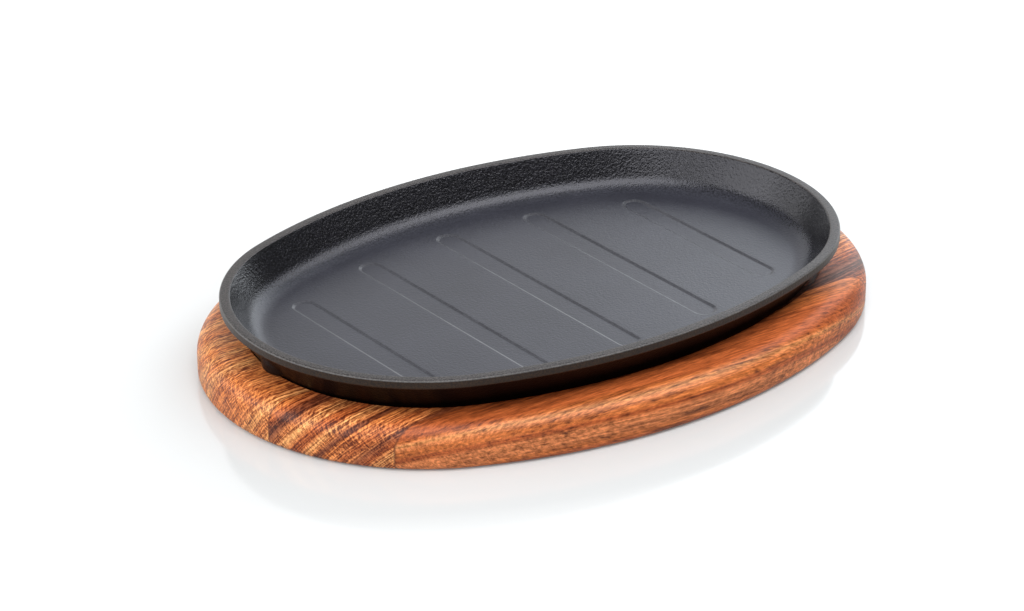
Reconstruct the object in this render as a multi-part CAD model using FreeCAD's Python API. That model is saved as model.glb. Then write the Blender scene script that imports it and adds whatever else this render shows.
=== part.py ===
import FreeCAD, Part
import math
import os

from FreeCAD import Vector

# Sizzle platter: an oval cast-iron platter that rests in a routed recess in an oval wooden board.
# Millimetres, +Z up. The origin is the centre of the board's underside, and +X is the long axis.
# An oval here is a four-centre oval: two end arcs and two side arcs, tangent where they meet.

# Platter: the outline of its lip, seen from above
RIM_LENGTH = 280.0
RIM_WIDTH = 188.6
RIM_SIDE_BULGE = 10.3

# Platter: the section of its wall
PLATTER_HEIGHT = 20.0
FLOOR_THICKNESS = 4.5
LIP_TOP_WIDTH = 4.2
LIP_HEIGHT = 3.8
LIP_OVERHANG = 2.6
WALL_LEAN = 32.3
LIP_EDGE_BEVEL = 0.7
FLOOR_FILLET = 10.5
BASE_BEVEL = 2.5

# Platter: grooves across the floor, spaced evenly about the middle one, as many as fit
GROOVE_PITCH = 43.4
GROOVE_WIDTH = 11.0
GROOVE_DEPTH = 0.8
GROOVE_SIDE_LEAN = 50.0
GROOVE_END_MARGIN = 7.5

# Platter: round-nosed lug under the lip at the -X end
LUG_WIDTH = 19.0
LUG_SET_IN = 6.0
LUG_DRAFT = 9.0
LUG_CLEARANCE = 0.8
LUG_EDGE_ROUND = 1.6

# Board: its outline stands out beyond the rim by these margins
BOARD_END_MARGIN = 11.0
BOARD_SIDE_MARGIN = 12.4
BOARD_SIDE_BULGE = 12.7
BOARD_THICKNESS = 18.0
BOARD_TOP_ROUND = 9.0
BOARD_BOTTOM_BEVEL = 3.0

# Board: it is sawn from a blank of straight staves of one width, which loses this much at each side
STAVES = 5
FRONT_TRIM = 8.9
BACK_TRIM = 14.2

# Recess: the platter rests in it loosely, a little towards its -X end and its back
RECESS_DEPTH = 4.0
RECESS_CLEARANCE = 1.3
RECESS_EDGE_BREAK = 0.5
END_GAP = 0.2
BACK_GAP = 0.9


class Oval:
    """Four-centre oval: its half axes, and how far its sides stand out beyond its end circles."""

    def __init__(self, half_length, half_width, side_bulge):
        self.half_length = half_length
        self.half_width = half_width
        self.side_bulge = side_bulge
        self.end_radius = half_width - side_bulge
        self.end_centre = half_length - self.end_radius
        self.side_radius = (self.end_centre ** 2 + half_width ** 2 - self.end_radius ** 2) / (2 * side_bulge)
        self.side_centre = self.side_radius - half_width
        self.joint_angle = math.degrees(math.atan2(self.side_centre, self.end_centre))

    def inset(self, distance):
        """The oval that lies inside this one by a distance, with the same four centres."""
        return Oval(self.half_length - distance, self.half_width - distance, self.side_bulge)

    def half_width_at(self, x):
        """Half the width of the oval at x along its length."""
        along = abs(x)
        if along > self.end_centre + self.end_radius * math.cos(math.radians(self.joint_angle)):
            return math.sqrt(self.end_radius ** 2 - (along - self.end_centre) ** 2)
        return math.sqrt(self.side_radius ** 2 - along ** 2) - self.side_centre

    def sectors(self):
        """Centre, radius, first angle and sweep of each of the four arcs."""
        end_sweep = 2 * self.joint_angle
        side_sweep = 180 - end_sweep
        return [
            (Vector(self.end_centre, 0, 0), self.end_radius, -self.joint_angle, end_sweep),
            (Vector(0, -self.side_centre, 0), self.side_radius, self.joint_angle, side_sweep),
            (Vector(-self.end_centre, 0, 0), self.end_radius, 180 - self.joint_angle, end_sweep),
            (Vector(0, self.side_centre, 0), self.side_radius, 180 + self.joint_angle, side_sweep),
        ]

    def face(self, z):
        """Flat face inside the oval at height z."""
        edges = []
        for centre, radius, start, sweep in self.sectors():
            circle = Part.Circle(centre + Vector(0, 0, z), Vector(0, 0, 1), radius)
            first, last = math.radians(start), math.radians(start + sweep)
            edges.append(Part.Arc(circle, first, last).toShape())
        return Part.Face(Part.Wire(edges))


def corner_cut(before, corner, after, radius):
    """Start, middle and end of the tangent arc that rounds a corner."""
    to_before = (before - corner).normalize()
    to_after = (after - corner).normalize()
    half_angle = to_before.getAngle(to_after) / 2
    setback = radius / math.tan(half_angle)
    bisector = (to_before + to_after).normalize()
    centre = corner + bisector * (radius / math.sin(half_angle))
    return corner + to_before * setback, centre - bisector * radius, corner + to_after * setback


def rounded_outline(corners):
    """Closed wire in the XZ plane through corners given as (x, z, radius of the round)."""
    points = [Vector(x, 0, z) for x, z, _ in corners]
    edges = []
    stretches = []
    for index, (_, _, radius) in enumerate(corners):
        corner = points[index]
        after = points[(index + 1) % len(points)]
        if radius > 0:
            start, middle, end = corner_cut(points[index - 1], corner, after, radius)
            stretches.append((start, end))
            edges.append(Part.Arc(start, middle, end).toShape())
        else:
            stretches.append((corner, corner))
            edges.append(None)
    outline = []
    for index, arc in enumerate(edges):
        if arc:
            outline.append(arc)
        start, end = stretches[index][1], stretches[(index + 1) % len(points)][0]
        outline.append(Part.LineSegment(start, end).toShape())
    return Part.Wire(outline)


def swept_round_oval(oval, corners, core_inset, core_low, core_high):
    """Solid whose section, given as (inset from the oval, z, round), follows the whole oval.

    The section runs in from the outline to core_inset, and a plate from core_low to core_high
    closes the middle.
    """
    core_oval = oval.inset(core_inset)
    solid = core_oval.face(core_low).extrude(Vector(0, 0, core_high - core_low))
    for centre, radius, start, sweep in oval.sectors():
        section = rounded_outline([(radius - inset, z, corner_round) for inset, z, corner_round in corners])
        face = Part.Face(section)
        face.rotate(Vector(0, 0, 0), Vector(0, 0, 1), start)
        face.translate(centre)
        solid = solid.fuse(face.revolve(centre, Vector(0, 0, 1), sweep))
    return solid.removeSplitter()


def wall_inset(depth):
    """How far a leaning wall has moved in at a depth below its start."""
    return depth * math.tan(math.radians(WALL_LEAN))


def groove_tool(x, half_span, floor_z):
    """Cutter for one groove: flat bottom, leaning sides and round ends."""
    side_run = math.tan(math.radians(GROOVE_SIDE_LEAN))
    low, high = -GROOVE_DEPTH, GROOVE_DEPTH
    low_radius = GROOVE_WIDTH / 2 - GROOVE_DEPTH * side_run
    high_radius = GROOVE_WIDTH / 2 + high * side_run
    reach = half_span - GROOVE_WIDTH / 2
    section = Part.makePolygon([
        Vector(-low_radius, -reach, low), Vector(low_radius, -reach, low),
        Vector(high_radius, -reach, high), Vector(-high_radius, -reach, high),
        Vector(-low_radius, -reach, low),
    ])
    tool = Part.Face(section).extrude(Vector(0, 2 * reach, 0))
    for end in (-reach, reach):
        tool = tool.fuse(Part.makeCone(low_radius, high_radius, high - low, Vector(0, end, low)))
    tool = tool.removeSplitter()
    tool.translate(Vector(x, 0, floor_z))
    return tool


def make_lug(rim, low_z, lip_z, rim_z):
    """Round-nosed lug that runs out from the wall under the lip, wider towards its top."""
    high_z = (lip_z + rim_z) / 2
    low_radius = LUG_WIDTH / 2
    high_radius = low_radius + (high_z - low_z) * math.tan(math.radians(LUG_DRAFT))
    centre_x = LUG_SET_IN + low_radius - rim.half_length
    nose = Part.makeCone(low_radius, high_radius, high_z - low_z, Vector(centre_x, 0, low_z))
    low_edge = [edge for edge in nose.Edges if edge.BoundBox.ZMax < low_z + LUG_EDGE_ROUND]
    nose = nose.makeFillet(LUG_EDGE_ROUND, low_edge)
    # The lug ends inside the wall, half way through it, so that it stays out of the platter's inside
    inner_half = swept_round_oval(rim, [
        (wall_middle(rim_z, lip_z, rim_z), rim_z, 0),
        (rim.end_radius / 2, rim_z, 0),
        (rim.end_radius / 2, low_z - LUG_CLEARANCE, 0),
        (wall_middle(low_z - LUG_CLEARANCE, lip_z, rim_z), low_z - LUG_CLEARANCE, 0),
    ], rim.end_radius / 2, low_z - LUG_CLEARANCE, rim_z)
    return nose.cut(inner_half)


def wall_middle(z, lip_z, rim_z):
    """Inset of the middle of the leaning wall at height z."""
    inside = LIP_TOP_WIDTH + wall_inset(rim_z - z)
    outside = LIP_OVERHANG + wall_inset(lip_z - z)
    return (inside + outside) / 2


def make_platter(rim, base_z):
    """The casting: floor, leaning wall and lip in one, with the lug added and the grooves sunk."""
    rim_z = base_z + PLATTER_HEIGHT
    floor_z = base_z + FLOOR_THICKNESS
    lip_z = rim_z - LIP_HEIGHT
    floor_corner = LIP_TOP_WIDTH + wall_inset(rim_z - floor_z)
    base_corner = LIP_OVERHANG + wall_inset(lip_z - base_z)
    floor_edge = floor_corner + FLOOR_FILLET * math.tan(math.radians(90 - WALL_LEAN) / 2)
    core_inset = floor_edge + FLOOR_THICKNESS
    platter = swept_round_oval(rim, [
        (0, rim_z - LIP_EDGE_BEVEL, 0),
        (LIP_EDGE_BEVEL, rim_z, 0),
        (LIP_TOP_WIDTH - LIP_EDGE_BEVEL, rim_z, 0),
        (LIP_TOP_WIDTH + wall_inset(LIP_EDGE_BEVEL), rim_z - LIP_EDGE_BEVEL, 0),
        (floor_corner, floor_z, FLOOR_FILLET),
        (core_inset, floor_z, 0),
        (core_inset, base_z, 0),
        (base_corner + BASE_BEVEL, base_z, 0),
        (base_corner - wall_inset(BASE_BEVEL), base_z + BASE_BEVEL, 0),
        (LIP_OVERHANG, lip_z, 0),
        (0, lip_z, 0),
    ], core_inset, base_z, floor_z)
    lug = make_lug(rim, base_z + RECESS_DEPTH + LUG_CLEARANCE, lip_z, rim_z)
    platter = platter.fuse(lug).removeSplitter()

    groove_oval = rim.inset(floor_edge + GROOVE_END_MARGIN)
    each_side = int((groove_oval.half_length - GROOVE_WIDTH) / GROOVE_PITCH)
    for place in range(-each_side, each_side + 1):
        x = place * GROOVE_PITCH
        platter = platter.cut(groove_tool(x, groove_oval.half_width_at(x), floor_z))
    return platter


def make_board(outline, recess):
    """The whole board before it is parted into staves: rounded edge and routed recess."""
    core_inset = BOARD_TOP_ROUND + BOARD_BOTTOM_BEVEL
    board = swept_round_oval(outline, [
        (0, BOARD_THICKNESS, BOARD_TOP_ROUND),
        (core_inset, BOARD_THICKNESS, 0),
        (core_inset, 0, 0),
        (BOARD_BOTTOM_BEVEL, 0, 0),
        (0, BOARD_BOTTOM_BEVEL, 0),
    ], core_inset, 0, BOARD_THICKNESS)
    board = board.cut(recess.face(BOARD_THICKNESS - RECESS_DEPTH).extrude(Vector(0, 0, BOARD_THICKNESS)))
    mouth = [
        edge for edge in board.Edges
        if edge.BoundBox.ZMin > BOARD_THICKNESS - RECESS_EDGE_BREAK
        and edge.BoundBox.XMax < recess.half_length + RECESS_EDGE_BREAK
        and edge.BoundBox.YMax < recess.half_width + RECESS_EDGE_BREAK
        and edge.BoundBox.XMin > -recess.half_length - RECESS_EDGE_BREAK
        and edge.BoundBox.YMin > -recess.half_width - RECESS_EDGE_BREAK
    ]
    return board.makeChamfer(RECESS_EDGE_BREAK, mouth)


def part_into_staves(board, outline):
    """Staves from front to back, parted at the glue lines, which run along the board."""
    stave_width = (2 * outline.half_width + FRONT_TRIM + BACK_TRIM) / STAVES
    first_seam = stave_width - outline.half_width - FRONT_TRIM
    seams = [first_seam + place * stave_width for place in range(STAVES - 1)]
    edges = [-outline.half_width] + seams + [outline.half_width]
    staves = []
    for front, back in zip(edges, edges[1:]):
        strip = Part.makeBox(
            2 * outline.half_length, back - front, BOARD_THICKNESS, Vector(-outline.half_length, front, 0))
        staves.append(board.common(strip))
    return staves


rim_outline = Oval(RIM_LENGTH / 2, RIM_WIDTH / 2, RIM_SIDE_BULGE)
board_outline = Oval(RIM_LENGTH / 2 + BOARD_END_MARGIN, RIM_WIDTH / 2 + BOARD_SIDE_MARGIN, BOARD_SIDE_BULGE)
wall_above_board = PLATTER_HEIGHT - RECESS_DEPTH - LIP_HEIGHT
recess_outline = rim_outline.inset(LIP_OVERHANG + wall_inset(wall_above_board) - RECESS_CLEARANCE)

os.makedirs("parts", exist_ok=True)

casting = make_platter(rim_outline, BOARD_THICKNESS - RECESS_DEPTH)
casting.translate(Vector(END_GAP - RECESS_CLEARANCE, RECESS_CLEARANCE - BACK_GAP, 0))
casting.exportStep("parts/platter.step")

whole_board = make_board(board_outline, recess_outline)
for number, stave in enumerate(part_into_staves(whole_board, board_outline), start=1):
    stave.exportStep(f"parts/board_stave_{number}.step")
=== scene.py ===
import math

import bmesh
import bpy
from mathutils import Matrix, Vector


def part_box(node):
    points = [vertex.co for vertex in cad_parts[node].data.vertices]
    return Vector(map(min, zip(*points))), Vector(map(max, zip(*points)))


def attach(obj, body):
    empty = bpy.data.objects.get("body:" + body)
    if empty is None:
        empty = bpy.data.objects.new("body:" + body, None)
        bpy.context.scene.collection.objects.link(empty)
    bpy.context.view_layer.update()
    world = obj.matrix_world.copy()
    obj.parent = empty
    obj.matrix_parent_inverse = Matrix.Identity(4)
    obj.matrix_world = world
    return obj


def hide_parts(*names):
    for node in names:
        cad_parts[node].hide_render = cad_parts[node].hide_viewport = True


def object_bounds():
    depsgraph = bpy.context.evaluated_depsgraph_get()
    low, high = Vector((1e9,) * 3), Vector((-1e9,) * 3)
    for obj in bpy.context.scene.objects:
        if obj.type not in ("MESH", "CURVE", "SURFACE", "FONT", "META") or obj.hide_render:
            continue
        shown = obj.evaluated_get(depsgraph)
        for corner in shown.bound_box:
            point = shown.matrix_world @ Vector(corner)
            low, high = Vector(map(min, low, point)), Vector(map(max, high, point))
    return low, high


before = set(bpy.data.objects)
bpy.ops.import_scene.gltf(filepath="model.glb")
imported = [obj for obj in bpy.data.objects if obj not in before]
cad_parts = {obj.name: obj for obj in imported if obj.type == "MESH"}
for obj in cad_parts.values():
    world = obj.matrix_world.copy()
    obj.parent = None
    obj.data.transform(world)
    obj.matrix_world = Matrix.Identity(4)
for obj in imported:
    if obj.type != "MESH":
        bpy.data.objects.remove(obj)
cad_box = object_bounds()

# The board: five straight staves of reddish hardwood, glued edge to edge, sawn to an oval and sanded.
# Its upper edge is rounded over, and a flat-bottomed oval recess is routed in its top for the platter.
# The whole board is skinned once and parted at the glue lines, so that the staves stay flush.
MM = 0.001
BOARD_SIDE_BULGE = 12.7 * MM
BOARD_TOP_ROUND = 9.0 * MM
BOARD_BOTTOM_ROUND = 3.0 * MM
BOARD_UNDERSIDE_INSET = 9.0 * MM
BOARD_TOP_INSET = 12.0 * MM
BOARD_STATIONS = 480
BOARD_EDGE_STEPS = 10
RIM_SIDE_BULGE = 10.3 * MM
RECESS_SET_IN = 9.0 * MM
RECESS_DEPTH = 4.0 * MM
RECESS_EDGE_ROUND = 0.5 * MM
RECESS_BORDER = 1.5 * MM
RECESS_EDGE_STEPS = 4
SHARP_ANGLE = math.radians(38)


def oval_stations(half_length, half_width, side_bulge, count):
    """Evenly spaced stations round a four-centre oval: arc centre, direction outward and arc radius."""
    end_radius = half_width - side_bulge
    end_centre = half_length - end_radius
    side_radius = (end_centre ** 2 + half_width ** 2 - end_radius ** 2) / (2 * side_bulge)
    side_centre = side_radius - half_width
    joint = math.atan2(side_centre, end_centre)
    arcs = [
        (Vector((end_centre, 0)), end_radius, -joint, 2 * joint),
        (Vector((0, -side_centre)), side_radius, joint, math.pi - 2 * joint),
        (Vector((-end_centre, 0)), end_radius, math.pi - joint, 2 * joint),
        (Vector((0, side_centre)), side_radius, math.pi + joint, math.pi - 2 * joint),
    ]
    around = sum(radius * sweep for _, radius, _, sweep in arcs)
    stations = []
    for arc_centre, radius, start, sweep in arcs:
        steps = round(count * radius * sweep / around)
        for step in range(steps):
            angle = start + sweep * step / steps
            outward = Vector((math.cos(angle), math.sin(angle)))
            stations.append((arc_centre, outward, radius))
    return stations


def rounded_section(corners, arc_steps):
    """Points of a section given as (inset, z, radius of the round) from its first corner to its last."""
    points = []
    for index, (inset, z, radius) in enumerate(corners):
        corner = Vector((inset, z))
        if not radius:
            points.append(corner)
            continue
        before = (Vector(corners[index - 1][:2]) - corner).normalized()
        after = (Vector(corners[index + 1][:2]) - corner).normalized()
        half_angle = before.angle(after) / 2
        centre = corner + (before + after).normalized() * (radius / math.sin(half_angle))
        first = corner + before * (radius / math.tan(half_angle)) - centre
        last = corner + after * (radius / math.tan(half_angle)) - centre
        turn = math.atan2(first.x * last.y - first.y * last.x, first.dot(last))
        for step in range(arc_steps + 1):
            part = turn * step / arc_steps
            points.append(centre + Vector((
                first.x * math.cos(part) - first.y * math.sin(part),
                first.x * math.sin(part) + first.y * math.cos(part))))
    return points


def oval_loop(mesh, stations, inset, z):
    """A loop of vertices that lies inside the stations' oval by an inset, at height z."""
    loop = []
    for centre, outward, radius in stations:
        flat = centre + outward * (radius - inset)
        loop.append(mesh.verts.new((flat.x, flat.y, z)))
    return loop


def skin(mesh, loops):
    """Quads between each loop and the next."""
    for low, high in zip(loops, loops[1:]):
        for index in range(len(low)):
            after = (index + 1) % len(low)
            mesh.faces.new((low[index], low[after], high[after], high[index]))


def shade(mesh):
    """Smooth faces, with edges kept crisp where the surface turns sharply."""
    bmesh.ops.recalc_face_normals(mesh, faces=mesh.faces)
    for face in mesh.faces:
        face.smooth = True
    for edge in mesh.edges:
        if len(edge.link_faces) == 2 and edge.calc_face_angle() > SHARP_ANGLE:
            edge.smooth = False


def add_piece(mesh, name, material, node):
    """The finished mesh as a piece of the object that stands for a CAD node."""
    data = bpy.data.meshes.new(name)
    mesh.to_mesh(data)
    mesh.free()
    data.materials.append(material)
    piece = bpy.data.objects.new(name, data)
    bpy.context.scene.collection.objects.link(piece)
    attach(piece, "root")
    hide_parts(node)
    return piece


class Finish:
    """A material's nodes, with short ways to add and link them."""

    def __init__(self, name, **surface):
        self.material = bpy.data.materials.new(name)
        self.material.use_nodes = True
        self.tree = self.material.node_tree
        self.surface = self.tree.nodes["Principled BSDF"]
        for socket, value in surface.items():
            self.feed(self.surface.inputs[socket], value)
        self.place = self.add("TexCoord").outputs["Object"]

    def feed(self, socket, value):
        """A value or a link into a socket."""
        if isinstance(value, bpy.types.NodeSocket):
            self.tree.links.new(value, socket)
        else:
            socket.default_value = value

    def add(self, kind, inputs=None, **settings):
        """A shader node with its settings and inputs."""
        node = self.tree.nodes.new("ShaderNode" + kind)
        for setting, value in settings.items():
            setattr(node, setting, value)
        for socket, value in (inputs or {}).items():
            self.feed(node.inputs[socket], value)
        return node

    def math(self, operation, first, second=0.0, third=0.0):
        node = self.add("Math", {0: first, 1: second, 2: third}, operation=operation)
        return node.outputs[0]

    def stretched(self, place, scale, shift=(0.0, 0.0, 0.0)):
        """Coordinates times a scale along each axis, moved by a shift."""
        return self.add("Mapping", {"Vector": place, "Scale": scale, "Location": shift}).outputs[0]

    def measured(self, per_mm, turn=0.0, shift=(0.0, 0.0, 0.0)):
        """The object's coordinates turned about Z, with so many features per mm along each axis."""
        turned = self.add("Mapping", {"Vector": self.place, "Rotation": (0, 0, -turn)}).outputs[0]
        return self.stretched(turned, [count / MM for count in per_mm], shift)

    def split(self, place):
        """The X, Y and Z of a vector."""
        return self.add("SeparateXYZ", {"Vector": place}).outputs

    def noise(self, place, detail=3.0, roughness=0.5):
        return self.add("TexNoise", {
            "Vector": place, "Scale": 1.0, "Detail": detail, "Roughness": roughness}).outputs["Fac"]

    def ramp(self, factor, stops):
        """Greys or colours at places from 0 to 1, blended between them."""
        node = self.add("ValToRGB", {"Fac": factor})
        points = node.color_ramp.elements
        while len(points) < len(stops):
            points.new(0.5)
        for point, (position, colour) in zip(points, stops):
            point.position = position
            point.color = colour if isinstance(colour, tuple) else (colour, colour, colour, 1)
        return node.outputs["Color"]

    def mix(self, factor, first, second, blend="MIX"):
        node = self.add(
            "Mix", {"Factor": factor, "A": first, "B": second}, data_type="RGBA", blend_type=blend)
        return node.outputs["Result"]

    def bump(self, height, distance, strength):
        """The surface's normal over a relief of so many metres."""
        node = self.add("Bump", {"Height": height, "Distance": distance, "Strength": strength})
        return node.outputs["Normal"]


# The wood's figure, as features per mm along the grain, along the rings and across them, with the
# noise's detail and roughness
FIGURE = {
    "coarse lines": ((0.012, 0.08, 0.32), 2.0, 0.5),
    "fibres": ((0.16, 1.1, 1.1), 2.0, 0.7),
    "rays": ((0.55, 1.6, 0.45), 2.0, 0.7),
    "dashes": ((0.25, 1.8, 0.10), 1.0, 0.5),
    "streaks": ((0.035, 0.8, 0.6), 2.0, 0.6),
    "pores": ((0.20, 1.5, 1.2), 1.0, 0.5),
}
FINE_LINES_LONG = (0.006, 0.05)
COARSE_LINE_STRENGTH = 0.9
FIBRE_STRENGTH = 3.0
RAY_STRENGTH = 1.9
DASH_STRENGTH = 1.7
STREAK_STRENGTH = 2.6
SEED_STEP = (7.3, 3.1, 1.7)
SWAY_PER_MM = (0.005, 0.03, 0.03)
RIPPLE_PER_MM = (0.02, 0.15, 0.15)
RIPPLE_SHARE = 0.2
DARKEST_WOOD = 0.22
BLUE_TINT = 0.15
PORE_TONE = (0.13, 0.028, 0.010, 1)
PORE_DENT = -0.7
WOOD_SHINE = 0.30
WOOD_RELIEF = 0.10 * MM
WOOD_RELIEF_STRENGTH = 0.6
WOOD_ROUGHNESS = 0.33
FIBRE_ROUGHNESS = 0.2
GLUE_TONE = (0.07, 0.02, 0.01, 1)
GLUE_HALF_WIDTH = 0.5 * MM


def wood(name, seams, log, bands, lines=0.5, flecks=0.5, hatch=1.0, ticks=1.0, streaks=0.0,
         pitch=0.85, depth_tint=1.35, wander=6.0, rise=0.0, slant=0.0, seed=0.0):
    """Oiled hardwood sawn from a log, whose growth rings are bands of colour with fine lines between.

    log is the pith's y and z in mm and the radius of the ring that the bands are counted from. The
    rings rise along the board and wander by so many mm, and the grain is slanted across it. pitch is
    the fine lines per mm. lines, flecks, hatch, ticks and streaks say how strongly the growth lines,
    the pores, the fibres, the rays and the long dark streaks show, and depth_tint how red the dark
    parts turn. seed gives each stave a stretch of the figure of its own.
    """
    finish = Finish(name, **{"Specular IOR Level": WOOD_SHINE})
    shift = tuple(seed * step for step in SEED_STEP)

    along, across, depth = finish.split(finish.measured((1, 1, 1), slant))
    across = finish.math("SUBTRACT", across, log[0])
    depth = finish.math("SUBTRACT", depth, log[1])
    ring = finish.math("SQRT", finish.math(
        "MULTIPLY_ADD", across, across, finish.math("MULTIPLY", depth, depth)))
    turn = finish.math("MULTIPLY", finish.math("ARCTAN2", depth, across), math.hypot(*log[:2]))
    sway = finish.noise(finish.measured(SWAY_PER_MM, slant, shift), detail=2.0)
    ripple = finish.noise(finish.measured(RIPPLE_PER_MM, slant, shift), detail=3.0)
    ring = finish.math("MULTIPLY_ADD", along, rise, ring)
    ring = finish.math("MULTIPLY_ADD", sway, wander, ring)
    ring = finish.math("MULTIPLY_ADD", ripple, wander * RIPPLE_SHARE, ring)
    grown = finish.add("CombineXYZ", {0: along, 1: turn, 2: ring}).outputs[0]

    def figure(layer):
        """The noise of one layer of the figure."""
        per_mm, detail, roughness = FIGURE[layer]
        return finish.noise(finish.stretched(grown, per_mm, shift), detail, roughness)

    def shaded(light, pattern, strength):
        """The light made brighter and darker by a pattern, about the pattern's middle."""
        return finish.math("MULTIPLY_ADD", finish.math("SUBTRACT", pattern, 0.5), strength, light)

    period = bands[-1][0]
    counted = finish.math("SUBTRACT", ring, log[2])
    ring_place = finish.math("DIVIDE", finish.math("PINGPONG", counted, period), period)
    colour = finish.ramp(ring_place, [(place / period, tone) for place, tone in bands])
    # Growth lines: thin across the rings, long in both other directions
    fine_lines = finish.noise(
        finish.stretched(grown, (*FINE_LINES_LONG, pitch), shift), detail=2.0, roughness=0.6)
    growth = finish.ramp(fine_lines, [(0.42, 0.0), (0.58, 1.0)])
    growth = shaded(growth, figure("coarse lines"), COARSE_LINE_STRENGTH)
    light = shaded(1.0, growth, lines)
    # Fibres that break out along the grain, and ray tissue standing across the rings
    fibres = figure("fibres")
    light = shaded(light, fibres, FIBRE_STRENGTH * hatch)
    light = shaded(light, figure("rays"), RAY_STRENGTH * ticks)
    light = shaded(light, figure("dashes"), DASH_STRENGTH * ticks)
    # Long dark streaks that a flat-sawn face shows beside its bands
    light = shaded(light, figure("streaks"), STREAK_STRENGTH * streaks)
    light = finish.math("MAXIMUM", light, DARKEST_WOOD)
    light = finish.add("CombineColor", {
        0: light, 1: finish.math("POWER", light, depth_tint),
        2: finish.math("POWER", light, depth_tint + BLUE_TINT)}).outputs[0]
    colour = finish.mix(1.0, colour, light, "MULTIPLY")
    # Open pores: short dark dashes along the grain
    pores = finish.math("MULTIPLY", finish.ramp(figure("pores"), [(0.58, 0.0), (0.68, 1.0)]), flecks)
    colour = finish.mix(pores, colour, PORE_TONE)
    # Thin dark glue line where the stave meets its neighbours
    row = finish.split(finish.place)[1]
    for seam in seams:
        gap = finish.math("ABSOLUTE", finish.math("SUBTRACT", row, seam))
        line = finish.ramp(finish.math("DIVIDE", gap, GLUE_HALF_WIDTH), [(0.0, 0.7), (1.0, 0.0)])
        colour = finish.mix(line, colour, GLUE_TONE)
    finish.feed(finish.surface.inputs["Base Color"], colour)
    relief = finish.math("MULTIPLY_ADD", pores, PORE_DENT, fibres)
    normal = finish.bump(relief, WOOD_RELIEF, WOOD_RELIEF_STRENGTH)
    finish.feed(finish.surface.inputs["Normal"], normal)
    dull = finish.math("MULTIPLY_ADD", fibres, FIBRE_ROUGHNESS, WOOD_ROUGHNESS)
    finish.feed(finish.surface.inputs["Roughness"], dull)
    return finish.material


def board_skin(outline, recess, thickness):
    """The whole board as one closed mesh."""
    mesh = bmesh.new()
    outer = rounded_section([
        (BOARD_UNDERSIDE_INSET, 0, 0),
        (0, 0, BOARD_BOTTOM_ROUND),
        (0, thickness, BOARD_TOP_ROUND),
        (BOARD_TOP_INSET, thickness, 0),
    ], BOARD_EDGE_STEPS)
    loops = [oval_loop(mesh, outline, inset, z) for inset, z in outer]
    mesh.faces.new(reversed(loops[0]))
    mouth = rounded_section([
        (-RECESS_BORDER, thickness, 0),
        (0, thickness, RECESS_EDGE_ROUND),
        (0, thickness - RECESS_DEPTH, 0),
    ], RECESS_EDGE_STEPS)
    loops += [oval_loop(mesh, recess, inset, z) for inset, z in mouth]
    skin(mesh, loops)
    mesh.faces.new(loops[-1])
    return mesh


def cut_stave(board, front, back):
    """What lies between two seams of a copy of the board, closed at the cuts."""
    stave = board.copy()
    for place, side in ((front, -1), (back, 1)):
        whole = stave.verts[:] + stave.edges[:] + stave.faces[:]
        cut = bmesh.ops.bisect_plane(
            stave, geom=whole, plane_co=(0, place, 0), plane_no=(0, side, 0), clear_outer=True)
        edges = [part for part in cut["geom_cut"] if isinstance(part, bmesh.types.BMEdge)]
        bmesh.ops.holes_fill(stave, edges=edges)
    return stave


board_length, board_width = (cad_box[1] - cad_box[0]).xy
rim_low, rim_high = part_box("platter")
rim_length, rim_width = (rim_high - rim_low).xy
board_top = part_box("board_stave_3")[1].z
board_outline = oval_stations(board_length / 2, board_width / 2, BOARD_SIDE_BULGE, BOARD_STATIONS)
recess_outline = oval_stations(
    rim_length / 2 - RECESS_SET_IN, rim_width / 2 - RECESS_SET_IN, RIM_SIDE_BULGE, BOARD_STATIONS)

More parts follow.
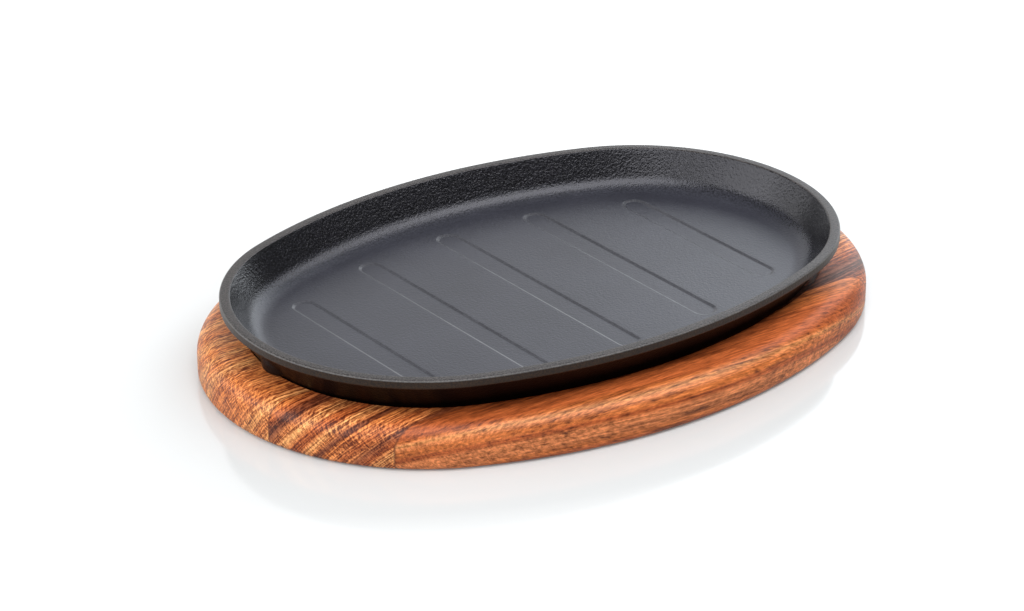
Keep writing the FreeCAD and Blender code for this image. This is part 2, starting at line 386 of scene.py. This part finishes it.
# Each stave's own log: the colours of its rings by their distance in mm from the first one, up to
# where they turn back, and how its figure shows
SAND = (0.58, 0.23, 0.074, 1)
TAN = (0.57, 0.18, 0.058, 1)
HONEY = (0.55, 0.165, 0.046, 1)
ORANGE = (0.48, 0.13, 0.030, 1)
RUST = (0.38, 0.086, 0.021, 1)
BROWN = (0.20, 0.05, 0.018, 1)
PLUM = (0.10, 0.035, 0.022, 1)
STAVE_LOOKS = {
    # Stave 1's rings follow its height, so its bands run along its edge: the pale band on the upper
    # round-over is partly painted highlight over the wood's own bands
    "board_stave_1": dict(
        log=(-135.0, -150.0, 155.5), bands=[
            (0, RUST), (2, ORANGE), (4.5, TAN), (8.6, TAN), (10.0, RUST), (10.8, RUST),
            (12.0, ORANGE), (13.3, ORANGE), (14.8, TAN), (16.2, SAND), (16.9, TAN), (17.5, ORANGE),
            (18.3, RUST), (24.5, RUST), (27, ORANGE), (30, TAN)],
        lines=0.4, flecks=0.28, hatch=0.7, ticks=0.3, streaks=0.65, depth_tint=1.12, wander=2.6,
        rise=0.03, seed=1.0),
    "board_stave_2": dict(
        log=(-248.0, -201.0, 276.0), bands=[
            (0, PLUM), (3, BROWN), (6, RUST), (12, HONEY), (15, SAND), (18, RUST), (21, BROWN),
            (23, HONEY), (25, RUST), (27, HONEY), (30.3, ORANGE), (31.2, BROWN), (32.3, BROWN),
            (33.4, HONEY), (35.5, SAND), (38, RUST), (41, RUST), (44, SAND), (47, HONEY),
            (49.5, BROWN), (52, BROWN), (55, RUST), (57, ORANGE), (60, RUST)],
        lines=1.0, flecks=0.3, pitch=1.45, wander=1.6, slant=math.radians(10), seed=2.0),
    "board_stave_3": dict(
        log=(-240.0, -170.0, 0.0),
        bands=[(0, HONEY), (6, ORANGE), (9, HONEY), (14, SAND), (19, HONEY)],
        lines=0.8, flecks=0.3, pitch=1.1, wander=2.5, seed=3.0),
    "board_stave_4": dict(
        log=(-200.0, -190.0, 0.0),
        bands=[(0, SAND), (5, ORANGE), (11, SAND), (16, ORANGE)],
        lines=0.5, flecks=0.5, seed=4.0),
    "board_stave_5": dict(
        log=(150.0, -120.0, 0.0),
        bands=[(0, ORANGE), (6, SAND), (12, ORANGE), (15, RUST)],
        lines=0.5, flecks=0.6, seed=5.0),
}
whole_board = board_skin(board_outline, recess_outline, board_top)
for node, look in STAVE_LOOKS.items():
    low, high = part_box(node)
    seams = [y for y in (low.y, high.y) if abs(abs(y) - board_width / 2) > MM]
    stave = cut_stave(whole_board, low.y, high.y)
    shade(stave)
    stave_wood = wood(node + "_wood", seams, **look)
    add_piece(stave, node.replace("board_", "oiled_"), stave_wood, node)
whole_board.free()

# The platter: one oval iron casting with a sloping wall, a thick lip and five shallow grooves.
# Its walls keep the grain of the sand mould, its floor is smoother, and it is seasoned dark grey.
# A small round-nosed lug stands out from the wall under the lip at the left end.
LIP_TOP_WIDTH = 4.2 * MM
LIP_HEIGHT = 3.8 * MM
LIP_OVERHANG = 2.6 * MM
LIP_EDGE_ROUND = 0.9 * MM
LIP_LOWER_ROUND = 0.7 * MM
UNDER_LIP_ROUND = 1.2 * MM
WALL_SLOPE = math.tan(math.radians(32.3))
FLOOR_THICKNESS = 4.5 * MM
FLOOR_FILLET = 10.5 * MM
FLOOR_BORDER = 2.0 * MM
BASE_ROUND = 2.5 * MM
BASE_INSET = 7.5 * MM
PLATTER_STATIONS = 900
PLATTER_ROUND_STEPS = 8
ROW_PITCH = 1.2 * MM
GROOVES_EACH_SIDE = 2
GROOVE_PITCH = 43.4 * MM
GROOVE_WIDTH = 11.0 * MM
GROOVE_DEPTH = 0.55 * MM
GROOVE_SIDE_SLOPE = math.tan(math.radians(66))
GROOVE_END_MARGIN = 7.5 * MM
GROOVE_EDGE_ROUND = 1.0 * MM
GROOVE_BORDER = 1.2 * MM
GROOVE_EDGE_STEPS = 4
GROOVE_END_STEPS = 24
LUG_WIDTH = 19.0 * MM
LUG_SET_IN = 6.0 * MM
LUG_DRAFT = math.tan(math.radians(9))
LUG_CLEARANCE = 0.8 * MM
LUG_EDGE_ROUND = 1.6 * MM
LUG_ROW_HEIGHTS = (-0.02, 0.0, 0.05, 0.2, 0.45, 0.8, 1.2, 1.6)
LUG_ROW_MARGIN = 0.5 * MM
LUG_END = -0.9
WALL_TOP_MARGIN = 1.5 * MM
ON_WALL = 0.01 * MM
NEARBY = 1.0 * MM

# Zones of the casting's surface in the order of its section, from the floor out and round
FLOOR_ZONE = 0.0
WALL_ZONE = 1.0
RIM_ZONE = 2.0
RIM_EDGE_ZONE = 2.5
LIP_SIDE_ZONE = 3.0
OUTER_WALL_ZONE = 4.0
ZONE_MARGIN = 0.3 * MM
RIM_EDGE_WIDTH = LIP_EDGE_ROUND * 0.6
RIM_EDGE_DEPTH = LIP_EDGE_ROUND * 0.7
FLOOR_FADE = FLOOR_FILLET * 0.5


def half_width_at(stations, x):
    """Half the width of an oval at x, read from its nearest stations."""
    points = [centre + outward * radius for centre, outward, radius in stations]
    return max(point.y for point in points if abs(point.x - x) < NEARBY)


def groove_loop(mesh, x, reach, radius, z, centre):
    """A loop round a straight groove with round ends, at one distance from its middle line."""
    loop = []
    for end, start in ((1, 0.0), (-1, math.pi)):
        for step in range(GROOVE_END_STEPS + 1):
            angle = start + math.pi * step / GROOVE_END_STEPS
            loop.append(mesh.verts.new((
                centre.x + x + radius * math.cos(angle),
                centre.y + end * reach + radius * math.sin(angle), z)))
    return loop


def lug_reach(arc_centre, outward, above, lug_centre_x):
    """How far out from the arc's centre the lug's nose stands in this direction, or None beside it."""
    nose = LUG_WIDTH / 2 + above * LUG_DRAFT
    if above < LUG_EDGE_ROUND:
        nose -= LUG_EDGE_ROUND - math.sqrt(LUG_EDGE_ROUND ** 2 - (LUG_EDGE_ROUND - above) ** 2)
    offset = Vector((lug_centre_x, 0)) - arc_centre
    along = offset.dot(outward)
    beside = offset.x * outward.y - offset.y * outward.x
    if along < 0 or abs(beside) >= nose:
        return None
    return along + math.sqrt(nose ** 2 - beside ** 2)


def casting_rows(section, base_z, lug_low, lip_z):
    """The section's points with more between them, and rows close together where the lug starts."""
    rows = []
    for first, second in zip(section, section[1:]):
        rows.append(first)
        pieces = max(1, round((second - first).length / ROW_PITCH))
        for piece in range(1, pieces):
            rows.append(first.lerp(second, piece / pieces))
    rows.append(section[-1])
    for height in LUG_ROW_HEIGHTS:
        z = lug_low + height * MM
        rows.append(Vector((LIP_OVERHANG + WALL_SLOPE * (lip_z - z), z)))
    # The straight stretch of the outer wall takes the lug's rows in their order of height
    wall = [
        row for row in rows
        if base_z + BASE_ROUND < row.y < lip_z - WALL_TOP_MARGIN and row.x > LIP_OVERHANG
        and abs(row.x - (LIP_OVERHANG + WALL_SLOPE * (lip_z - row.y))) < ON_WALL]
    wall_start = min(rows.index(row) for row in wall)
    before_wall = [row for row in rows[:wall_start] if row not in wall]
    after_wall = [row for row in rows[wall_start:] if row not in wall]
    return before_wall + sorted(wall, key=lambda row: row.y) + after_wall


def zone_of(inset, z, is_inside, floor_z, lip_z, rim_z):
    """The zone of the casting's surface that a row of its section lies in."""
    if inset < RIM_EDGE_WIDTH and z > rim_z - RIM_EDGE_DEPTH:
        return RIM_EDGE_ZONE
    if z > rim_z - ZONE_MARGIN:
        return RIM_ZONE
    if is_inside:
        return min(WALL_ZONE, max(FLOOR_ZONE, (z - floor_z) / FLOOR_FADE))
    if z < lip_z - ZONE_MARGIN and inset > LIP_OVERHANG - ZONE_MARGIN:
        return OUTER_WALL_ZONE
    return LIP_SIDE_ZONE


def casting_skin(rim_centre, rim_z):
    """The casting's whole surface, from the middle of its base round to its grooved floor."""
    mesh = bmesh.new()
    zone = mesh.verts.layers.float.new("zone")
    groove_slope = mesh.verts.layers.float.new("groove_slope")
    base_z = board_top - RECESS_DEPTH
    lip_z = rim_z - LIP_HEIGHT
    floor_z = base_z + FLOOR_THICKNESS
    floor_corner = LIP_TOP_WIDTH + WALL_SLOPE * (rim_z - floor_z)
    base_corner = LIP_OVERHANG + WALL_SLOPE * (lip_z - base_z)
    floor_edge = floor_corner + FLOOR_FILLET * math.tan((math.pi / 2 - math.atan(WALL_SLOPE)) / 2)
    lug_low = board_top + LUG_CLEARANCE
    lug_centre_x = LUG_SET_IN + LUG_WIDTH / 2 - rim_length / 2
    stations = oval_stations(rim_length / 2, rim_width / 2, RIM_SIDE_BULGE, PLATTER_STATIONS)
    section = rounded_section([
        (base_corner + BASE_INSET, base_z, 0),
        (base_corner, base_z, BASE_ROUND),
        (LIP_OVERHANG, lip_z, UNDER_LIP_ROUND),
        (0, lip_z, LIP_LOWER_ROUND),
        (0, rim_z, LIP_EDGE_ROUND),
        (LIP_TOP_WIDTH, rim_z, LIP_EDGE_ROUND),
        (floor_corner, floor_z, FLOOR_FILLET),
        (floor_edge + FLOOR_BORDER, floor_z, 0),
    ], PLATTER_ROUND_STEPS)
    rows = casting_rows(section, base_z, lug_low, lip_z)
    top = max(range(len(rows)), key=lambda index: rows[index].y)
    loops = []
    for index, (inset, z) in enumerate(rows):
        row_zone = zone_of(inset, z, index > top, floor_z, lip_z, rim_z)
        has_lug = index < top and inset > LIP_OVERHANG - LUG_ROW_MARGIN and lug_low <= z <= lip_z
        loop = []
        for arc_centre, outward, radius in stations:
            reach = radius - inset
            if has_lug and outward.x < LUG_END:
                reach = max(reach, lug_reach(arc_centre, outward, z - lug_low, lug_centre_x) or 0)
            flat = arc_centre + outward * reach + rim_centre
            vertex = mesh.verts.new((flat.x, flat.y, z))
            vertex[zone] = row_zone
            loop.append(vertex)
        loops.append(loop)
    mesh.faces.new(reversed(loops[0]))
    skin(mesh, loops)

    # Grooves: loops from just outside each groove's edge down to its flat bottom
    side_run = GROOVE_DEPTH * GROOVE_SIDE_SLOPE
    groove_section = rounded_section([
        (-GROOVE_BORDER, 0, 0),
        (0, 0, GROOVE_EDGE_ROUND),
        (side_run, -GROOVE_DEPTH, GROOVE_EDGE_ROUND),
        (side_run + GROOVE_BORDER, -GROOVE_DEPTH, 0),
    ], GROOVE_EDGE_STEPS)
    ends_oval = [
        (centre, outward, radius - floor_edge - GROOVE_END_MARGIN) for centre, outward, radius in stations]
    borders = [loops[-1]]
    for place in range(-GROOVES_EACH_SIDE, GROOVES_EACH_SIDE + 1):
        x = place * GROOVE_PITCH
        reach = half_width_at(ends_oval, x) - GROOVE_WIDTH / 2
        groove = [
            groove_loop(mesh, x, reach, GROOVE_WIDTH / 2 - inset, floor_z + z, rim_centre)
            for inset, z in groove_section]
        skin(mesh, groove)
        # The grooves' rounded edges and sloping sides get a lighter tone than the floor
        for loop in groove[2:-2]:
            for vertex in loop:
                vertex[groove_slope] = 1.0
        mesh.faces.new(groove[-1])
        borders.append(groove[0])
    edges = []
    for loop in borders:
        for index, vertex in enumerate(loop):
            edges.append(mesh.edges.get((vertex, loop[(index + 1) % len(loop)])))
    bmesh.ops.triangle_fill(mesh, use_beauty=True, use_dissolve=False, edges=edges, normal=(0, 0, 1))
    return mesh


FLOOR_TONE = (0.031, 0.032, 0.042, 1)
WALL_TONE = (0.0035, 0.0035, 0.005, 1)
RIM_TONE = (0.036, 0.031, 0.029, 1)
# A lighter line along the rim's outer top edge: painted highlight
RIM_EDGE_PAINTED_HIGHLIGHT = (0.08, 0.075, 0.070, 1)
# The lip's corner and side: dark iron with a painted reflection of the wood, which turns them brown
LIP_CORNER_TONE_AND_WOOD_REFLECTION = (0.018, 0.009, 0.0035, 1)
LIP_SIDE_TONE_AND_WOOD_REFLECTION = (0.022, 0.011, 0.004, 1)
# The outer wall and lug under the lip: the iron's dark tone darkened further as painted shade
OUTER_WALL_TONE_AND_PAINTED_SHADE = (0.0018, 0.0007, 0.0004, 1)
# A lighter tone on the grooves' edges and sides
GROOVE_SLOPE_TONE = (0.051, 0.052, 0.060, 1)
SAND_GRAIN_PER_MM = 0.8
FINE_GRAIN_PER_MM = 1.5
PATCHES_PER_MM = (0.03, 0.03, 0.05)
FINE_GRAIN_SHARE = 0.6
CAST_RELIEF = 0.27 * MM
SPECK_MIDDLE = 0.45
SEASONING_SPREAD = 0.6
DARKEST_IRON = 0.05
FINE_GRAIN_ROUGHNESS = 0.20
IRON_TINT = (0.92, 0.92, 1.0, 1)
IRON_SHINE = 0.5
UNDERSIDE_SHINE = 0.25


def cast_iron(name, shine):
    """Seasoned iron as cast: a finer floor with a blue cast, sand-grained walls, a painted highlight on
    the rim's edge, a lip painted brown as the wood's reflection and an outer wall darkened as painted
    shade.
    """
    finish = Finish(name, **{"Specular IOR Level": shine, "Specular Tint": IRON_TINT})
    zone = finish.add("Attribute", attribute_name="zone").outputs["Fac"]
    groove_slope = finish.add("Attribute", attribute_name="groove_slope").outputs["Fac"]
    sand = finish.noise(finish.measured([SAND_GRAIN_PER_MM] * 3), detail=2.0)
    fine = finish.noise(finish.measured([FINE_GRAIN_PER_MM] * 3), detail=1.0)
    patches = finish.noise(finish.measured(PATCHES_PER_MM), detail=4.0)
    # Where a part of the casting lies on a ramp: 0 floor, 0.25 inner wall, 0.5 rim, 0.625 its outer
    # edge, 0.75 side of the lip and 1 outer wall
    part = finish.math("DIVIDE", zone, OUTER_WALL_ZONE)
    coarse = finish.ramp(part, [(0.0, 0.32), (0.25, 0.62), (0.5, 0.6), (0.75, 0.4), (1.0, 0.6)])
    grains = finish.math("MULTIPLY_ADD", fine, FINE_GRAIN_SHARE, sand)
    relief = finish.math("MULTIPLY", grains, coarse)
    finish.feed(finish.surface.inputs["Normal"], finish.bump(relief, CAST_RELIEF, 1.0))
    tone = finish.ramp(part, [
        (0.0, FLOOR_TONE), (0.25, WALL_TONE), (0.5, RIM_TONE), (0.57, RIM_TONE),
        (0.60, RIM_EDGE_PAINTED_HIGHLIGHT), (0.635, RIM_EDGE_PAINTED_HIGHLIGHT), (0.66, LIP_CORNER_TONE_AND_WOOD_REFLECTION), (0.75, LIP_SIDE_TONE_AND_WOOD_REFLECTION),
        (1.0, OUTER_WALL_TONE_AND_PAINTED_SHADE)])
    tone = finish.mix(groove_slope, tone, GROOVE_SLOPE_TONE)
    # Specks of the mould's sand, over wide patches where the seasoning is thinner or thicker
    specks = finish.math(
        "SUBTRACT", finish.ramp(fine, [(0.38, 0.0), (0.64, 1.0)]), SPECK_MIDDLE)
    speck_strength = finish.ramp(
        part, [(0.0, 0.45), (0.25, 2.0), (0.5, 1.8), (0.60, 0.6), (0.65, 0.6), (1.0, 1.0)])
    specks = finish.math("MULTIPLY", specks, speck_strength)
    patches = finish.math("SUBTRACT", patches, 0.5)
    seasoning = finish.math("MULTIPLY_ADD", patches, SEASONING_SPREAD, 1.0)
    light = finish.math("MAXIMUM", finish.math("ADD", specks, seasoning), DARKEST_IRON)
    grey = finish.add("CombineColor", {0: light, 1: light, 2: light}).outputs[0]
    finish.feed(finish.surface.inputs["Base Color"], finish.mix(1.0, tone, grey, "MULTIPLY"))
    dull = finish.ramp(part, [(0.0, 0.26), (0.25, 0.13), (0.5, 0.36), (0.75, 0.30), (1.0, 0.30)])
    dull = finish.math("MULTIPLY_ADD", fine, FINE_GRAIN_ROUGHNESS, dull)
    finish.feed(finish.surface.inputs["Roughness"], dull)
    return finish.material


rim_centre = ((rim_low + rim_high) / 2).xy
casting = casting_skin(rim_centre, rim_high.z)
zone = casting.verts.layers.float["zone"]
shade(casting)
for face in casting.faces:
    face.material_index = int(min(vertex[zone] for vertex in face.verts) > RIM_EDGE_ZONE)
seasoned_iron = cast_iron("cast_iron_seasoned", IRON_SHINE)
platter = add_piece(casting, "iron_platter", seasoned_iron, "platter")
platter.data.materials.append(cast_iron("cast_iron_underside", UNDERSIDE_SHINE))

# The studio: a glossy white table that runs off on all sides and mirrors the object. It glows more
# the farther out it lies, and only the camera and reflections see that glow. The sky is white to the
# camera and faint to everything else.
TABLE_HALF = 6.0
TABLE_ROUGHNESS = 0.12
TABLE_TONE = (0.52, 0.535, 0.54, 1)
BOARD_EDGE_PLACE = 0.25
SKY_STRENGTH = 0.15

table_mesh = bpy.data.meshes.new("table")
table_mesh.from_pydata(
    [(-TABLE_HALF, -TABLE_HALF, 0), (TABLE_HALF, -TABLE_HALF, 0), (TABLE_HALF, TABLE_HALF, 0),
     (-TABLE_HALF, TABLE_HALF, 0)], [], [(0, 1, 2, 3)])
table = bpy.data.objects.new("table", table_mesh)
bpy.context.scene.collection.objects.link(table)
table_finish = Finish("white_table", Roughness=TABLE_ROUGHNESS)
ray_kind = table_finish.add("LightPath").outputs
seen = table_finish.math("MAXIMUM", ray_kind["Is Camera Ray"], ray_kind["Is Glossy Ray"])
table_finish.feed(table_finish.surface.inputs["Base Color"], TABLE_TONE)
# How far out a place on the table lies, as an oval with the board's proportions
oval = table_finish.stretched(
    table_finish.place, (2 * BOARD_EDGE_PLACE / board_length, 2 * BOARD_EDGE_PLACE / board_width, 1))
away = table_finish.add("VectorMath", {0: oval}, operation="LENGTH").outputs["Value"]
# Less glow close to the board leaves a grey oval round it: painted shade under and round the object
lift = table_finish.ramp(
    away, [(0.255, 0.13), (0.325, 0.19), (0.39, 0.40), (0.50, 0.60), (0.85, 0.7), (1.0, 1.0)])
table_finish.feed(table_finish.surface.inputs["Emission Color"], (1, 1, 1, 1))
table_finish.feed(
    table_finish.surface.inputs["Emission Strength"], table_finish.math("MULTIPLY", seen, lift))
table_mesh.materials.append(table_finish.material)

world = bpy.data.worlds.new("studio")
bpy.context.scene.world = world
world.use_nodes = True
sky = world.node_tree.nodes["Background"]
sky.inputs["Color"].default_value = (1, 1, 1, 1)
sky_rays = world.node_tree.nodes.new("ShaderNodeLightPath").outputs
sky_level = world.node_tree.nodes.new("ShaderNodeMath")
sky_level.operation = "MAXIMUM"
sky_level.inputs[1].default_value = SKY_STRENGTH
world.node_tree.links.new(sky_rays["Is Camera Ray"], sky_level.inputs[0])
world.node_tree.links.new(sky_level.outputs[0], sky.inputs["Strength"])

# The lights: seven soft boxes that face the object. The widest stands low behind it, one hangs over
# it, and the others stand in front of it and on both sides.
LIGHT_AIM = Vector((0, 0, 0.02))


def softbox(name, turn, rise, distance, size, brightness, colour=(1, 1, 1)):
    """A soft light that faces the object; turn is its compass angle from +Y towards +X, in degrees."""
    turn, rise = math.radians(turn), math.radians(rise)
    flat = distance * math.cos(rise)
    place = LIGHT_AIM + Vector((
        flat * math.sin(turn), flat * math.cos(turn), distance * math.sin(rise)))
    lamp = bpy.data.lights.new(name, "AREA")
    lamp.shape = "RECTANGLE"
    lamp.size, lamp.size_y = size
    lamp.energy = brightness * math.pi * size[0] * size[1]
    lamp.color = colour
    light = bpy.data.objects.new(name, lamp)
    light.location = place
    light.rotation_euler = (LIGHT_AIM - place).to_track_quat("-Z", "Y").to_euler()
    bpy.context.scene.collection.objects.link(light)


softbox("backdrop_light", 42, 16, 1.6, (2.6, 0.95), 1.15, (0.97, 0.99, 1.0))
softbox("window_light", 62, 20, 1.2, (0.75, 0.7), 1.5, (0.86, 0.94, 1.0))
softbox("top_light", 185, 70, 1.3, (1.8, 0.8), 4.2)
softbox("right_light", 105, 46, 1.3, (0.8, 0.5), 2.6)
softbox("front_light", 198, 14, 1.3, (0.8, 0.35), 1.9)
softbox("side_light", 281, 30, 1.3, (1.8, 0.7), 3.1)
softbox("left_light", 327, 13, 1.3, (0.9, 0.45), 1.9)

# The camera: a long lens that looks down on the object from its front left, at the photograph's
# angle. It is aimed a little to the left of the middle of the rim and below it.
SENSOR_WIDTH = 36
PICTURE_WIDTH = 1024
LENS_IN_PIXELS = 3595.3
NEAREST_SEEN = 0.1
CAMERA_TURN = math.radians(36.841)
CAMERA_DIP = math.radians(25.414)
CAMERA_DISTANCE = 1.4910
CAMERA_RIGHT = 0.00990
CAMERA_UP = -0.02118

camera_data = bpy.data.cameras.new("camera")
camera_data.lens = LENS_IN_PIXELS * SENSOR_WIDTH / PICTURE_WIDTH
camera_data.sensor_width = SENSOR_WIDTH
camera_data.clip_start = NEAREST_SEEN
camera = bpy.data.objects.new("camera", camera_data)
forward = Vector((
    math.sin(CAMERA_TURN) * math.cos(CAMERA_DIP), math.cos(CAMERA_TURN) * math.cos(CAMERA_DIP),
    -math.sin(CAMERA_DIP)))
right = Vector((math.cos(CAMERA_TURN), -math.sin(CAMERA_TURN), 0))
up = right.cross(forward)
target = Vector((rim_centre.x, rim_centre.y, rim_high.z))
camera.location = target - forward * CAMERA_DISTANCE - right * CAMERA_RIGHT + up * CAMERA_UP
camera.rotation_euler = forward.to_track_quat("-Z", "Y").to_euler()
bpy.context.scene.collection.objects.link(camera)
bpy.context.scene.camera = camera
bpy.context.scene.view_settings.view_transform = "Standard"
